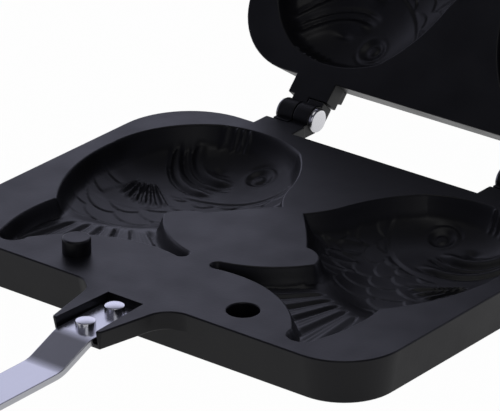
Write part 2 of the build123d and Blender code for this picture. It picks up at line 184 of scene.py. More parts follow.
def drum(name, middle, radius, length, axis, edge=0.0, sides=48):
    """A round bar along X, Y or Z, with its two rims rounded."""
    only()
    turn = {"X": (0, pi / 2, 0), "Y": (pi / 2, 0, 0), "Z": (0, 0, 0)}[axis]
    bpy.ops.mesh.primitive_cylinder_add(vertices=sides, radius=radius / 1000,
                                        depth=length / 1000, location=metres(*middle),
                                        rotation=turn)
    piece = settle(name)
    if edge:
        edit(piece)
        pick("EDGE", lambda **place: near(abs(place[axis.lower()] - middle["XYZ".index(axis)]),
                                          length / 2))
        bevel(edge, 3)
        close_edit()
    return piece


def disc(name, middle, radius, sides, turn=(0, 0, 0)):
    """A filled circle."""
    only()
    bpy.ops.mesh.primitive_circle_add(vertices=sides, radius=radius / 1000, fill_type="NGON",
                                      location=metres(*middle), rotation=turn)
    return settle(name)


def turned(name, profile, sides=48):
    """A lathed solid round Z from a list of (radius, height) from its low end to its top."""
    radius, height = profile[0]
    piece = disc(name, (0, 0, height), radius, sides)
    edit(piece)
    select_all()
    for next_radius, next_height in profile[1:]:
        extrude(0, 0, next_height - height)
        stretch(next_radius / radius, next_radius / radius, 1)
        radius, height = next_radius, next_height
    close_edit()
    return piece


# %% [markdown]
# Modifiers are set and applied at once. A boolean welds two pieces or cuts one with the other.

# %% Welding and cutting
def modified(piece, kind, **settings):
    """Adds a modifier with its settings and applies it."""
    step = piece.modifiers.new(kind.lower(), kind)
    for name, value in settings.items():
        setattr(step, name, value)
    only(piece)
    bpy.ops.object.modifier_apply(modifier=step.name)
    return piece


def joined(body, tool, operation="UNION"):
    """Welds a tool into a body, or cuts it away, and removes the tool."""
    modified(body, "BOOLEAN", operation=operation, solver="MANIFOLD", object=tool)
    bpy.data.objects.remove(tool)
    return body


# %% [markdown]
# ## The tray of the casting
# The tray is a shallow dish turned over: a flat face above, sides that lean in by ten degrees
# so that it leaves the mould, and a hollow back. It could be a scaled cube, but the front and
# back corners have different radii. So a plane gets its corners from a vertex bevel, and inset
# with a depth draws the leaning side in one step.

# %% Tray with a leaning side
def sheet(name, middle, width, length):
    """A flat rectangle, opened for editing."""
    only()
    bpy.ops.mesh.primitive_plane_add(size=1, location=metres(*middle))
    bpy.context.object.scale = metres(width, length, 1000)
    piece = settle(name)
    edit(piece)
    return piece


def leaned(high_z, low_z, lean):
    """Makes a flat face a solid that leans in from one level to another."""
    pick("FACE")
    bpy.ops.mesh.inset(thickness=lean / 1000, depth=(low_z - high_z) / 1000)
    pick("EDGE", z=high_z)
    bpy.ops.mesh.edge_face_add()
    close_edit()


def tray(name, inset, high_z, low_z, lean, edge_high, edge_low):
    """A solid with the plate's plan, moved in by an inset, that leans in from one level."""
    width, length = PLATE_WIDTH - 2 * inset, PLATE_LENGTH - 2 * inset
    piece = sheet(name, (0, 0, high_z), width, length)
    pick("VERT", lambda x, y, z: y < 0)
    bevel(FRONT_CORNER - inset, 14, "VERTICES")
    pick("VERT", y=length / 2)
    bevel(BACK_CORNER - inset, 16, "VERTICES")
    leaned(high_z, low_z, lean)
    edit(piece)
    for level, edge, steps in ((high_z, edge_high, 4), (low_z, edge_low, 3)):
        if edge:
            pick("EDGE", z=level)
            bevel(edge, steps)
    close_edit()
    return piece


casting = tray("lower_casting", 0, PLATE_HEIGHT, 0, DRAFT_INSET, 0, CAST_EDGE)
hollow = tray("back_hollow", DRAFT_INSET + SKIRT_WALL, PLATE_HEIGHT - WEB_WALL, -1, 0, 2.0, 0)
joined(casting, hollow, "DIFFERENCE")
print("tray faces:", len(casting.data.polygons))

# %% [markdown]
# ## Lugs for the handle and the hinge
# The handle lug is a tapered tongue that runs into the front edge with round roots of 10 mm. It
# is drawn flat: the front edge of a plane is subdivided, its middle part widened to the root,
# pulled out and narrowed, and the two inner corners get a vertex bevel, whose length follows
# from the radius and the angle of the corner. Inset with a depth gives it the plate's lean. The
# upper edge is rounded once, round plate and lug together.

# %% Handle lug
LUG_LENGTH, LUG_ROOT_WIDTH, LUG_TIP_WIDTH, LUG_THICK, LUG_ROOT_R = 30.0, 34.4, 22.0, 7.6, 10.0
THIRD_TO_ROOT = 1.5
ROOT_Y = FRONT_Y + 0.02
LUG_END = FRONT_Y - LUG_LENGTH
LUG_LOW_Z = PLATE_HEIGHT - LUG_THICK
lean_angle = atan2((LUG_ROOT_WIDTH - LUG_TIP_WIDTH) / 2, ROOT_Y - LUG_END)
lug = sheet("handle_lug", (0, ROOT_Y + 2.5, PLATE_HEIGHT), 2 * LUG_ROOT_WIDTH, 5)
pick("EDGE", y=ROOT_Y)
bpy.ops.mesh.subdivide(number_cuts=2)
pick("VERT", lambda x, y, z: abs(x) < LUG_ROOT_WIDTH * 0.9, y=ROOT_Y)
stretch(THIRD_TO_ROOT, 1, 1, center_override=metres(0, ROOT_Y, PLATE_HEIGHT))
pick("EDGE", x=0, y=ROOT_Y)
extrude(0, LUG_END - ROOT_Y, 0)
stretch(LUG_TIP_WIDTH / LUG_ROOT_WIDTH, 1, 1)
pick("VERT", lambda x, y, z: abs(x) < LUG_ROOT_WIDTH * 0.9, y=ROOT_Y)
bevel(LUG_ROOT_R / tan(pi / 4 + lean_angle / 2), 10, "VERTICES")
pick("VERT", y=LUG_END)
bevel(1.2, 4, "VERTICES")
select_all()
bpy.ops.mesh.dissolve_limited(angle_limit=radians(0.5))
bpy.ops.mesh.normals_make_consistent(inside=False)
leaned(PLATE_HEIGHT, LUG_LOW_Z, LUG_THICK * tan(DRAFT))
edit(lug)
pick("EDGE", lambda x, y, z: y < FRONT_Y, z=LUG_LOW_Z)
bevel(CAST_EDGE, 3)
close_edit()
joined(casting, lug)
edit(casting)
select_all()
bpy.ops.mesh.dissolve_limited(angle_limit=radians(0.5))
pick("EDGE", z=PLATE_HEIGHT)
bevel(CAST_EDGE, 4)
close_edit()
print("faces with the handle lug:", len(casting.data.polygons))

# %% [markdown]
# The steel strap lies in a slot cast in the lug, so that it can't turn on its rivets. The slot
# opens out a little towards its mouth, so a box cut from above has its far end widened.

# %% Slot for the strap
STRAP_WIDTH, STRAP_THICK, STRAP_SINK, SLOT_START, SLOT_FLARE = 16.0, 2.5, 3.2, 2.9, 1.2
slot_half = STRAP_WIDTH / 2 + 0.1
slot = block("strap_slot", (-slot_half, LUG_END, PLATE_HEIGHT - STRAP_SINK - STRAP_THICK),
             (slot_half, FRONT_Y - SLOT_START, PLATE_HEIGHT + 5))
edit(slot)
pick("VERT", y=LUG_END)
stretch(1 + SLOT_FLARE / slot_half, 1, 1)
pick("FACE", y=LUG_END)
extrude(0, -5, 0)
close_edit()
joined(casting, slot, "DIFFERENCE")
print("handle lug reaches y =", LUG_END)

# %% [markdown]
# Each hinge lug carries a knuckle half as wide as the pair, so that two equal castings, one
# turned over, mesh into one hinge. The pair is narrower than the lug and stands 1 mm further in.
# A heel behind each knuckle meets the other casting's lug and stops the lid at 134 degrees. A
# rib under each lug carries it down to the skirt.

# %% Hinge lugs, knuckles and heels
LUG_X, HINGE_LUG_WIDTH, HINGE_LUG_THICK = 53.0, 19.0, 7.4
LUG_END_Y = HINGE_Y - 7.8
RIB_HALF, RIB_FOOT_Y = 4.0, BACK_Y + 2
PAIR_X, PAIR_WIDTH = 52.0, 15.0
KNUCKLE_R, KNUCKLE_GAP, PIN_R, PLAY = 5.4, 0.4, 2.5, 0.06
BORE_R = PIN_R + PLAY
HEEL_LENGTH, HEEL_REACH = 6.5, 7.5
knuckle_width = (PAIR_WIDTH - KNUCKLE_GAP) / 2


def hinge_turn(angle):
    """The turn by an angle in degrees about the hinge axis."""
    centre = Vector(metres(0, HINGE_Y, HINGE_Z))
    return (Matrix.Translation(centre) @ Matrix.Rotation(radians(angle), 4, "X")
            @ Matrix.Translation(-centre))


for side in (-1, 1):
    lug_x = side * LUG_X
    lug_low = (lug_x - HINGE_LUG_WIDTH / 2, BACK_Y - 5, PLATE_HEIGHT - HINGE_LUG_THICK)
    lug_high = (lug_x + HINGE_LUG_WIDTH / 2, LUG_END_Y, PLATE_HEIGHT)
    joined(casting, block("hinge_lug", lug_low, lug_high, 0.5))
    rib = block("lug_rib", (lug_x - RIB_HALF, BACK_Y - 5, 0),
                (lug_x + RIB_HALF, LUG_END_Y, PLATE_HEIGHT - WEB_WALL))
    edit(rib)
    pick("VERT", y=LUG_END_Y, z=0)
    shift(0, RIB_FOOT_Y - LUG_END_Y, 0)
    pick("EDGE", y=LUG_END_Y, z=PLATE_HEIGHT - WEB_WALL)
    shift(0, -0.4, 0)
    pick("EDGE", lambda x, y, z: not near(x, lug_x))
    bevel(0.6, 2)
    close_edit()
    joined(casting, rib)
    pair_x = side * PAIR_X
    high_x = pair_x + PAIR_WIDTH / 2
    low_x = high_x - knuckle_width
    joined(casting, drum("knuckle", ((low_x + high_x) / 2, HINGE_Y, HINGE_Z), KNUCKLE_R,
                         knuckle_width, "X", 0.5))
    joined(casting, block("knuckle_web", (low_x, LUG_END_Y - 1, PLATE_HEIGHT - KNUCKLE_R),
                          (high_x, HINGE_Y, PLATE_HEIGHT), 0.4))
    heel = block("heel", (low_x, HINGE_Y, HINGE_Z - HEEL_LENGTH),
                 (high_x, HINGE_Y + HEEL_REACH, HINGE_Z), 0.4)
    heel.data.transform(hinge_turn(180 - OPEN_ANGLE))
    joined(casting, heel)
    joined(casting, drum("pin_bore", (pair_x, HINGE_Y, HINGE_Z), BORE_R, PAIR_WIDTH + 4, "X"),
           "DIFFERENCE")
print("casting faces with hinge:", len(casting.data.polygons))

# %% [markdown]
# A short pin on one side and a blind hole on the other keep the shut castings in line. Turned
# over, each casting's pin finds the other's hole.

# %% Locating pin and hole
LOCATOR_X, LOCATOR_Y = 38.4, FRONT_Y + 15.2
LOCATOR_R, HOLE_R, BOSS_R = 5.3, 5.85, 8.85
PIN_HIGH, HOLE_LOW = PLATE_HEIGHT + 6, PLATE_HEIGHT - 7


def placed(piece, x, y):
    """Moves a piece in plan."""
    piece.data.transform(Matrix.Translation(metres(x, y, 0)))
    return piece


locator = turned("locating_pin", [
    (LOCATOR_R, PLATE_HEIGHT - 2), (LOCATOR_R, PIN_HIGH - 0.8), (5.07, PIN_HIGH - 0.25),
    (4.5, PIN_HIGH)])
joined(casting, placed(locator, -LOCATOR_X, LOCATOR_Y))
joined(casting, drum("hole_boss", (LOCATOR_X, LOCATOR_Y, PLATE_HEIGHT - 5.6), BOSS_R, 8.0,
                     "Z", 0.8))
well = turned("locating_hole", [
    (5.6, HOLE_LOW), (HOLE_R, HOLE_LOW + 0.3), (HOLE_R, PLATE_HEIGHT - 0.6),
    (6.1, PLATE_HEIGHT - 0.15), (6.6, PLATE_HEIGHT + 0.15), (6.6, PLATE_HEIGHT + 2)])
joined(casting, placed(well, LOCATOR_X, LOCATOR_Y), "DIFFERENCE")
print("play of the pin in its hole, mm:", round(HOLE_R - LOCATOR_R, 2))

# %% [markdown]
# ## The outline of the fish
# The outline is a chain of arcs, as the pattern maker draws it: every second point is a joint
# between two arcs and the point after it lies on the arc. It could be a Bezier curve, but arcs
# give the same line as the CAD.

# %% Fish outline
fish_arcs = [
    (5, 92), (16, 80), (24, 70), (31, 67.5), (35, 60), (24, 48.5), (8, 41), (5.5, 38), (9, 35.5),
    (42, 31), (61, 14), (67.5, 7.5), (72.5, 13), (76, 30), (75, 46), (88, 70), (91.7, 98),
    (86.5, 120), (70, 136.5), (51, 140), (30, 134), (19, 120), (13, 106), (10, 99),
]
SPACING = 0.65


def arc_points(start, middle, end):
    """Points along the arc through three points, without its last one."""
    ax, ay = start[0] - end[0], start[1] - end[1]
    bx, by = middle[0] - end[0], middle[1] - end[1]
    cross = 2 * (ax * by - ay * bx)
    a2, b2 = ax * ax + ay * ay, bx * bx + by * by
    centre = (end[0] + (by * a2 - ay * b2) / cross, end[1] + (ax * b2 - bx * a2) / cross)
    radius = hypot(start[0] - centre[0], start[1] - centre[1])
    angles = [atan2(p[1] - centre[1], p[0] - centre[0]) for p in (start, middle, end)]
    way = 1 if cross < 0 else -1
    sweep = (way * (angles[2] - angles[0])) % (2 * pi)
    if (way * (angles[1] - angles[0])) % (2 * pi) > sweep:
        way, sweep = -way, 2 * pi - sweep
    count = max(3, round(radius * sweep / SPACING))
    return [(centre[0] + radius * cos(angles[0] + way * sweep * k / count),
             centre[1] + radius * sin(angles[0] + way * sweep * k / count)) for k in range(count)]


outline = []
for i in range(0, len(fish_arcs), 2):
    outline += arc_points(fish_arcs[i], fish_arcs[i + 1], fish_arcs[(i + 2) % len(fish_arcs)])
outline = np.array(outline)
print("outline points:", len(outline))

# %% [markdown]
# ## Depth from a distance
# The shape of the cavity follows from how far a point lies inside the outline: near the rim it
# is the leaning wall, further in the floor. NumPy finds it for thousands of points at once.

# %% Distance to a line
def line_distance(x, y, line, closed=False):
    """Distance of each point to a chain of straight runs."""
    starts = np.asarray(line, float)
    ends = np.roll(starts, -1, 0)
    if not closed:
        starts, ends = starts[:-1], ends[:-1]
    best = np.full(x.shape, 1e9)
    for (x0, y0), (x1, y1) in zip(starts, ends):
        dx, dy = x1 - x0, y1 - y0
        t = np.clip(((x - x0) * dx + (y - y0) * dy) / (dx * dx + dy * dy + 1e-12), 0, 1)
        best = np.minimum(best, np.hypot(x - x0 - t * dx, y - y0 - t * dy))
    return best


def inside_distance(x, y):
    """Distance to the fish's outline, positive inside it and negative outside."""
    inside = np.zeros(x.shape, bool)
    for (x0, y0), (x1, y1) in zip(outline, np.roll(outline, -1, 0)):
        if y0 != y1:
            crosses = ((y0 > y) != (y1 > y)) & (x < (x1 - x0) * (y - y0) / (y1 - y0) + x0)
            inside ^= crosses
    distance = line_distance(x, y, outline, closed=True)
    return np.where(inside, distance, -distance)


def ease(value, low, high):
    """0 below low, 1 above high, and a smooth rise between them."""
    t = np.clip((value - low) / (high - low), 0, 1)
    return t * t * (3 - 2 * t)


# %% [markdown]
# ## The floor of the cavity
# The body of the cake is a pillow about 13 mm thick, and its tail is flat and half as thick.
# Across the root of the tail one runs into the other. The floor is worked out on a grid of
# 1 mm squares and blurred by 2 mm, which is what rounding with a ball cutter does to it.

# %% Floor of the cavity
BODY_DEPTH, TAIL_DEPTH = 13.4, 6.3
CUP_DEPTH, CUP_TAIL = 18.2, 9.3
TAIL_ROOT = (55.5, 53.0)
ROOT_NORMAL = (0.338, 0.941)
grid_x, grid_y = np.meshgrid(np.arange(-6.0, 103.0), np.arange(-6.0, 154.0))
grid_inside = inside_distance(grid_x, grid_y)


def from_tail(x, y):
    """How far a point lies from the root of the tail towards the body."""
    return (x - TAIL_ROOT[0]) * ROOT_NORMAL[0] + (y - TAIL_ROOT[1]) * ROOT_NORMAL[1]


def pillow(distance, depth, reach):
    """Depth of a pillow whose sides curve down over a reach."""
    t = np.clip(distance / reach, 0, 1)
    return depth * np.sqrt(1 - (1 - t) ** 2)


def blurred(field, spread):
    """A grid smoothed by a bell curve of that spread in millimetres."""
    offsets = np.arange(-round(3 * spread), round(3 * spread) + 1)
    bell = np.exp(-((offsets / spread) ** 2) / 2)
    bell /= bell.sum()
    padded = np.pad(field, len(offsets) // 2, mode="edge")
    rows = np.apply_along_axis(np.convolve, 0, padded, bell, "valid")
    return np.apply_along_axis(np.convolve, 1, rows, bell, "valid")


def sampled(field, x, y):
    """The value of the grid between its points."""
    u, v = x - grid_x[0, 0], y - grid_y[0, 0]
    i, j = np.floor(u).astype(int), np.floor(v).astype(int)
    i, j = np.clip(i, 0, field.shape[1] - 2), np.clip(j, 0, field.shape[0] - 2)
    s, t = u - i, v - j
    low = field[j, i] * (1 - s) + field[j, i + 1] * s
    high = field[j + 1, i] * (1 - s) + field[j + 1, i + 1] * s
    return low * (1 - t) + high * t


def cake_floor(wider, depth, reach, tail, spread):
    """A pillow for the body that runs into a flat tail, blurred."""
    body = np.maximum(pillow(grid_inside + wider, depth, reach), tail)
    return blurred(tail + body_share * (body - tail), spread)


body_share = ease(from_tail(grid_x, grid_y), -5, 12)
floor_grid = cake_floor(1.5, BODY_DEPTH, 27, TAIL_DEPTH, 2.0)
cup_grid = cake_floor(3, CUP_DEPTH, 24, CUP_TAIL, 1.5)
print("deepest floor: %.1f mm" % floor_grid.max())

# %% [markdown]
# ## The carving
# What makes the cake a fish is cut into the floor: eye, nostril, lips, gill cover, overlapping
# scales, the fan of a side fin and the rays of the tail. They could be sculpted with a brush,
# but then nobody could change a size. Here each is a small formula of the distance to a point
# or of the place on a circle. Heights are in millimetres, and up is towards the baker.

# %% Places on a circle
def line_ridge(x, y, line, width):
    """A rounded ridge, 1 high, along a line."""
    return np.exp(-((line_distance(x, y, line) / width) ** 2))


def polar(x, y, centre):
    """Distance from a centre, and the direction in degrees."""
    across, along = x - centre[0], y - centre[1]
    return np.hypot(across, along), np.degrees(np.arctan2(along, across))


def band(value, middle, width):
    """A rounded ridge, 1 high, where a value passes its middle."""
    return np.exp(-(((value - middle) / width) ** 2))


def between(value, first, last, soft):
    """1 between two values, with a soft rise and fall at its ends."""
    return ease(value, first, first + soft) * (1 - ease(value, last - soft, last))


# %% [markdown]
# The eye is a round pit with a low ring and a pupil. The lips are two nested crescents round the
# mouth: each is a groove with a rolled edge inside it, and the inner groove is double.

# %% Head
EYE, NOSTRIL = (43, 126), (59.5, 123.5)
LIP_CENTRE, LIP_R = (54, 131.6), 29.0
MOUTH_CENTRE, MOUTH_R = (56.2, 136.6), 23.7


def head_height(x, y):
    """Eye in its socket, nostril, lips and mouth."""
    eye, eye_turn = polar(x, y, EYE)
    brow = band(eye, 7.2, 0.7) * between(eye_turn, 20, 150, 25)
    height = 0.2 * band(eye, 5.7, 0.9) - 0.9 * np.exp(-((eye / 4.4) ** 6)) - 0.4 * brow
    height += 0.7 * np.exp(-((eye / 2.3) ** 6))
    nostril = np.hypot((x - NOSTRIL[0]) / 3.4, (y - NOSTRIL[1]) / 1.6)
    height -= 1.0 * np.exp(-(nostril ** 2))
    lip, turn = polar(x, y, LIP_CENTRE)
    height += between(turn, -104, -8, 16) * (0.8 * band(lip, LIP_R - 2.6, 1.7)
                                             - 0.9 * band(lip, LIP_R, 0.9))
    mouth, turn = polar(x, y, MOUTH_CENTRE)
    rolled = 0.9 * band(mouth, MOUTH_R - 4.6, 1.9) - 1.2 * band(mouth, MOUTH_R - 1.5, 1.15)
    return height + between(turn, -114, -6, 18) * (rolled - 1.3 * band(mouth, MOUTH_R + 1.5, 1.15))


# %% [markdown]
# The gill cover is a plate with a crisp edge: the floor steps up just inside an arc and falls
# away gently behind it.

# %% Gill cover
GILL_CENTRE, GILL_R, GILL_STEP = (58, 134), 36.0, 0.5


def gill_height(x, y):
    """Steps up inside the arc of the gill cover."""
    reach, turn = polar(x, y, GILL_CENTRE)
    step = (1 - ease(reach, GILL_R - 0.7, GILL_R + 0.7)) * np.exp((reach - GILL_R) / 8)
    return GILL_STEP * between(turn, -172, -84, 14) * np.minimum(step, 1)


# %% [markdown]
# Scales overlap like roof tiles, with their free edges towards the tail, in rows round the gill
# cover. Each is a tilted leaf, and the one nearer the head covers the next. At each point the
# leaves of three rows are tried from the head side, and the first one that reaches the point
# gives the height. A slow wobble keeps the rows from looking ruled.

# %% Scales
SCALE_PITCH, SCALE_TURN, SCALE_STEP = 6.8, 16.0, 0.42
SCALE_REACH, SCALE_HALF = 1.75, 0.66


def scale_height(x, y):
    """Rows of overlapping scales, from the gill cover to the root of the tail."""
    reach, turn = polar(x, y, GILL_CENTRE)
    along = (reach - GILL_R + 0.7 * np.sin(turn / 9 + x / 11)) / SCALE_PITCH
    across = turn / SCALE_TURN + 0.12 * np.sin(reach / 5)
    row = np.floor(along)
    height = np.zeros(x.shape)
    found = np.zeros(x.shape, bool)
    for back in (2, 1, 0):
        this = row - back
        place = across - np.where(this % 2 == 0, 0.0, 0.5)
        u = place - np.round(place)
        edge = SCALE_REACH * np.sqrt(np.maximum(1 - (u / SCALE_HALF) ** 2, 0)) - (along - this)
        hit = (edge > 0) & ~found
        height = np.where(hit, ease(along - this, 0, 1.7) * ease(edge, 0, 0.13), height)
        found |= hit
    fin_reach, fin_turn = polar(x, y, FIN_ROOT)
    fin = between(fin_turn, -150, -86, 5) * (1 - ease(fin_reach, 28, 32))
    share = (ease(reach, GILL_R + 0.5, GILL_R + 2.5) * (1 - ease(turn, -92, -78) * ease(y, 88, 94))
             * ease(from_tail(x, y), 3, 11) * (1 - fin))
    return SCALE_STEP * height * share


# %% [markdown]
# The side fin and the tail are fans of rays. They could be drawn line by line, but as they
# repeat with the angle round one point, one formula of that angle keeps them even.

# %% Fins
FIN_ROOT, FIN_PITCH = (80, 106), 8.8
TAIL_CENTRE, TAIL_PITCH = (61, 71), 12.8
BACK_RAYS = [(14.5, 96), (18, 90), (21.5, 84), (25, 78)]


def off_ray(phase):
    """How far a place in the fan lies from the nearest ray; 0.5 is midway."""
    return np.abs(phase - np.round(phase))


def fin_height(x, y):
    """Rays of the side fin, of the back fin and of the tail."""
    reach, turn = polar(x, y, FIN_ROOT)
    length = np.interp(turn, [-141, -119, -97], [31, 27, 22])
    from_ray = off_ray((turn + 97) / FIN_PITCH)
    fan = between(turn, -147, -91, 4) * ease(reach, 6, 15) * (1 - ease(reach, length - 5, length))
    height = fan * (1.15 * (1 - ease(from_ray, 0.10, 0.36)) - 0.45)
    for foot_x, foot_y in BACK_RAYS:
        height += 0.4 * line_ridge(x, y, [(foot_x, foot_y), (foot_x + 8, foot_y + 7)], 1.1)
    reach, turn = polar(x, y, TAIL_CENTRE)
    from_ray = off_ray((turn + 81) / TAIL_PITCH)
    slot = band(from_ray, 0, 0.17)
    thin = band(from_ray, 0.42, 0.07)
    tail = 1 - ease(from_tail(x, y), -7, -2)
    return height + tail * (0.4 - 1.3 * slot - 0.3 * thin)


def floor_height(x, y):
    """All of the carving together."""
    return head_height(x, y) + gill_height(x, y) + scale_height(x, y) + fin_height(x, y)


# %% [markdown]
# ## A cutter in the shape of the cake
# The cavity is cut with a solid in the shape of the cake. Its outline is followed by rings of
# points, close together where the wall bends at the rim and at the foot, and the floor gets an
# even net. A grid primitive that is pushed down would leave saw teeth along the wall, so the
# points are joined by Blender's Delaunay triangulation, which follows the rings. RIM holds the
# section of the wall: distances inside the outline, and the depth at each.

# %% Depth of the cavity and of its cup
RIM = ([-1.0, -0.6, -0.35, -0.12, 0.12, 0.4, 0.8, 1.3, 1.9, 2.6, 3.4],
       [-0.6, -0.02, 0.04, 0.15, 0.42, 1.0, 2.05, 3.5, 5.2, 7.2, 9.5])
CUP_WALL, CUP_RIM = 3.0, 1.6
WALL_RIBS = [(57.5, 0.7), (60.3, 0.7), (63.2, 0.7), (67.5, 1.2)]


def soft_minimum(a, b, reach):
    """The smaller of two depths, rounded where they meet."""
    share = np.maximum(reach - np.abs(a - b), 0) / reach
    return np.minimum(a, b) - share * share * reach / 4


def cavity_depth(x, y):
    """Depth of the cavity below the flat face."""
    inside = inside_distance(x, y)
    ribbed = inside
    for place, width in WALL_RIBS:
        ribbed = ribbed - 0.75 * band(x, place, width) * (y > 120) * ease(inside, 0, 0.6)
    wall = np.interp(ribbed, *RIM) + np.maximum(ribbed - RIM[0][-1], 0) * 2.8
    carved = sampled(floor_grid, x, y) - floor_height(x, y) * ease(inside, 1.6, 4.2)
    return soft_minimum(wall, carved, 1.4 + 3.0 * ease(from_tail(x, y), -1, 9))


def cup_depth(x, y):
    """Depth of the cup that holds the cavity, seen from behind."""
    inside = inside_distance(x, y) + CUP_WALL
    wall = CUP_RIM + np.maximum(inside, 0) * 3.0
    return np.minimum(soft_minimum(wall, sampled(cup_grid, x, y), 3.0), PLATE_HEIGHT)


# %% Rings, net and solid
NET_X, NET_Y = (-4, 100), (-4, 150)


def ring_points(offset):
    """Points at one distance inside the outline, without those that land too near to it."""
    ahead, behind = np.roll(outline, -1, 0), np.roll(outline, 1, 0)
    along = ahead - behind
    along /= np.hypot(along[:, 0], along[:, 1])[:, None]
    moved = outline + offset * np.stack([-along[:, 1], along[:, 0]], 1)
    true = np.abs(inside_distance(moved[:, 0], moved[:, 1]) - offset) < 0.1
    return moved[true]


def linked(name, data):
    """A new object in the scene for a mesh, a lamp or a camera."""
    thing = bpy.data.objects.new(name, data)
    bpy.context.scene.collection.objects.link(thing)
    return thing


def relief_solid(name, rings, pitch, depth, lid_z):
    """A solid with a flat top whose underside lies at a depth below the flat face."""
    border = ring_points(rings[0])
    points = [border] + [ring_points(offset) for offset in rings[1:]]
    rows = np.arange(*NET_Y, pitch * sqrt(3) / 2)
    net = np.array([(x + (pitch / 2 if k % 2 else 0), y) for k, y in enumerate(rows)
                    for x in np.arange(*NET_X, pitch)])
    net = net[inside_distance(net[:, 0], net[:, 1]) > rings[-1] + pitch * 0.6]
    flat = np.concatenate(points + [net])
    loop = list(range(len(border)))
    flat, _, faces, *_ = geometry.delaunay_2d_cdt([Vector(p) for p in flat], [], [loop], 1, 1e-6)
    flat = np.array([tuple(p) for p in flat])
    low_z = PLATE_HEIGHT - depth(flat[:, 0], flat[:, 1])
    count = len(flat)
    runs = dict.fromkeys(run for a, b, c in faces for run in ((a, b), (b, c), (c, a)))
    rim = {a: b for a, b in runs if (b, a) not in runs}
    order = [next(iter(rim))]
    while rim[order[-1]] != order[0]:
        order.append(rim[order[-1]])
    cover = [(flat[i][0], flat[i][1] + FRONT_Y, lid_z) for i in order]
    vertices = [(x, y + FRONT_Y, z) for (x, y), z in zip(flat, low_z)] + cover
    sides = [(order[k], count + k, count + (k + 1) % len(order), order[(k + 1) % len(order)])
             for k in range(len(order))]
    mesh = bpy.data.meshes.new(name)
    mesh.from_pydata([metres(*v) for v in vertices], [],
                     list(faces) + sides + [tuple(range(count, count + len(order)))])
    piece = linked(name, mesh)
    edit(piece)
    close_edit()
    return piece


def mirrored(piece):
    """The same piece for the other side of the middle line, turned the right way out."""
    twin = linked(piece.name, piece.data.copy())
    twin.data.transform(Matrix.Scale(-1, 4, (1, 0, 0)))
    edit(twin)
    close_edit()
    return twin


# %% Cake and cup
cake = relief_solid("cake_cutter", RIM[0], 0.65, cavity_depth, PLATE_HEIGHT + 2)
cup = relief_solid("cup", [-CUP_WALL, -2.5, -1.6, -0.6, 1.0], 2.0, cup_depth,
                   PLATE_HEIGHT - CUP_RIM)
print("triangles of the cake cutter:", len(cake.data.polygons))

# %% [markdown]
# The cups go on first, for both fish, and then both cakes are cut out of them. The left-hand
# fish is the mirror image of the right-hand one, as in the real casting.

# %% Cups and cavities
for tool, operation in ((mirrored(cup), "UNION"), (cup, "UNION"),
                        (mirrored(cake), "DIFFERENCE"), (cake, "DIFFERENCE")):
    joined(casting, tool, operation)
print("casting triangles:", sum(len(p.vertices) - 2 for p in casting.data.polygons))

# %% [markdown]
# ## Shading a cut mesh
# After many cuts the faces are long and uneven, and plain smooth shading would pull shadows
# across the flat face. Smooth by angle keeps the true corners, and the Weighted Normal modifier
# lets the large flat faces decide, so that only the rounded edges shade round.

# %% Shading and placing helpers
def shaded(piece, angle=38):
    """Smooth shading that keeps corners, led by the large faces."""
    only(piece)
    bpy.ops.object.shade_smooth_by_angle(angle=radians(angle))
    return modified(piece, "WEIGHTED_NORMAL", keep_sharp=True)


turn_over = (Matrix.Translation(metres(0, 0, HINGE_Z)) @ Matrix.Rotation(pi, 4, "Y")
             @ Matrix.Translation(metres(0, 0, -HINGE_Z)))
dressed = []


def carry(piece, body, node, finish):
    """Puts a piece on the body it moves with, hides the CAD node that it stands for, and notes its
    finish.
    """
    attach(piece, body)
    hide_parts(node)
    dressed.append((piece, finish))


def for_both(piece, node, finish):
    """The lower piece, and its twin for the lid: turned over and swung open."""
    twin = linked(piece.name.replace("lower", "lid"), piece.data.copy())
    twin.data.name = twin.name
    twin.data.transform(hinge_turn(-OPEN_ANGLE) @ turn_over)
    carry(piece, "base", "lower_" + node, finish)
    carry(twin, "lid", "lid_" + node, finish)


for_both(shaded(casting, 44), "plate", "coated_casting")
print("castings:", [piece.name for piece, _ in dressed])

# %% [markdown]
# ## The strap
# A strip of 16 x 2.5 mm steel, cut, bent down in a joggle and riveted. As in the workshop it
# starts as a flat sheet: a plane gets two cross lines where it is bent, the far part is pressed
# down, and the bend lines are bevelled to the radius of the press tool. Solidify gives the
# thickness and a fine bevel breaks the cut edges.

# %% Strap
STRAP_LENGTH, SLOPE, DROP, BEND_R = 187.0, 15.5, 6.2, 12.0
STRAP_Y = FRONT_Y - 3.0
STRAP_END_Y = STRAP_Y - STRAP_LENGTH
BEND_Y = FRONT_Y - 31.0
SLOPE_END_Y = BEND_Y - SLOPE
strap_z = PLATE_HEIGHT - STRAP_SINK
strap = sheet("lower_strap_bar", (0, STRAP_Y - STRAP_LENGTH / 2, strap_z), STRAP_WIDTH,
              STRAP_LENGTH)
pick("EDGE", lambda x, y, z: not near(x, 0))
bpy.ops.mesh.subdivide(number_cuts=2)
for line_y, new_y, drop in ((STRAP_Y - STRAP_LENGTH / 3, BEND_Y, 0),
                            (STRAP_Y - STRAP_LENGTH * 2 / 3, SLOPE_END_Y, DROP),
                            (STRAP_END_Y, STRAP_END_Y, DROP)):
    pick("VERT", y=line_y)
    shift(0, new_y - line_y, -drop)
pick("EDGE", lambda x, y, z: near(y, BEND_Y) or near(y, SLOPE_END_Y), x=0)
bevel(BEND_R * tan(atan2(DROP, SLOPE) / 2), 8)
bpy.ops.object.mode_set(mode="OBJECT")
modified(strap, "SOLIDIFY", thickness=STRAP_THICK / 1000, offset=-1, use_even_offset=True)
modified(strap, "BEVEL", width=0.35 / 1000, segments=3, limit_method="ANGLE",
         angle_limit=radians(30))
edit(strap)
close_edit()
shaded(strap)
grain = strap.data.uv_layers.new(name="grain")
